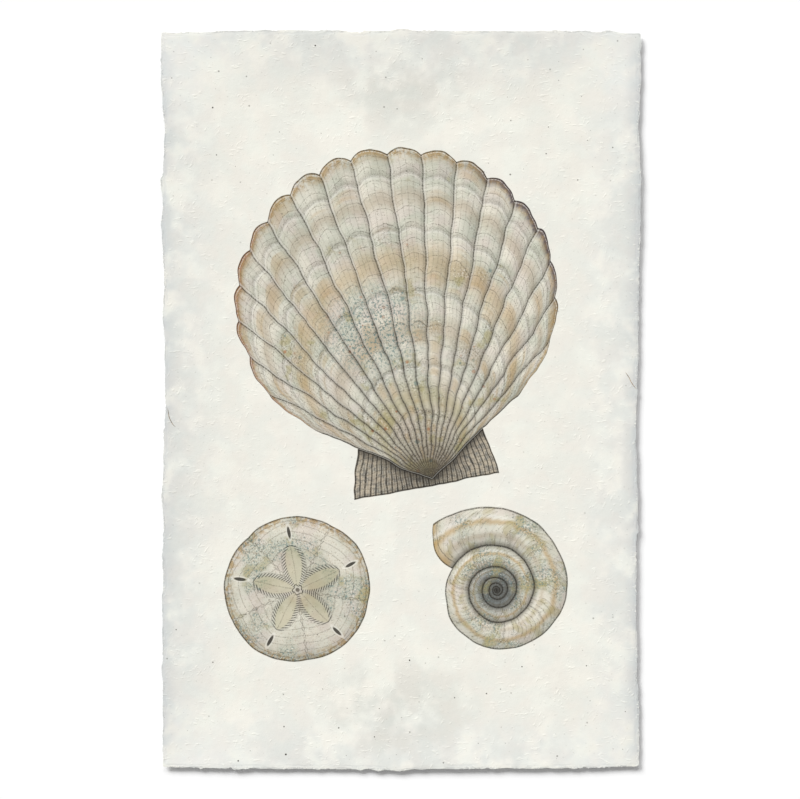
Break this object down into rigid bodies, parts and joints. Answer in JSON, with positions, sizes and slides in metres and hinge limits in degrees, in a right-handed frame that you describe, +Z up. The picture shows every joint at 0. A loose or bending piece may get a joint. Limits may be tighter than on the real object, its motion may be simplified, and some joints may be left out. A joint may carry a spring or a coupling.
{
  "type": "handmade paper art print",
  "caption": "Deckle-edged sheet of thick handmade paper printed on one side, lying flat with its borders curling up slightly.",
  "frame": {"origin": "middle of the sheet's box, on the surface it lies on", "axes": "+Z up out of the printed face, +Y towards the top of the picture along the sheet's long side, +X to the picture's right"},
  "size_m": [0.5616, 0.8674, 0.0057],
  "materials": {
    "paper": "uncoated matt rag paper, printed on its upper face in ivory greys, sepia, ochre and slate blue"
  },
  "bodies": {
    "root": {"sheet": "paper"}
  },
  "joints": []
}
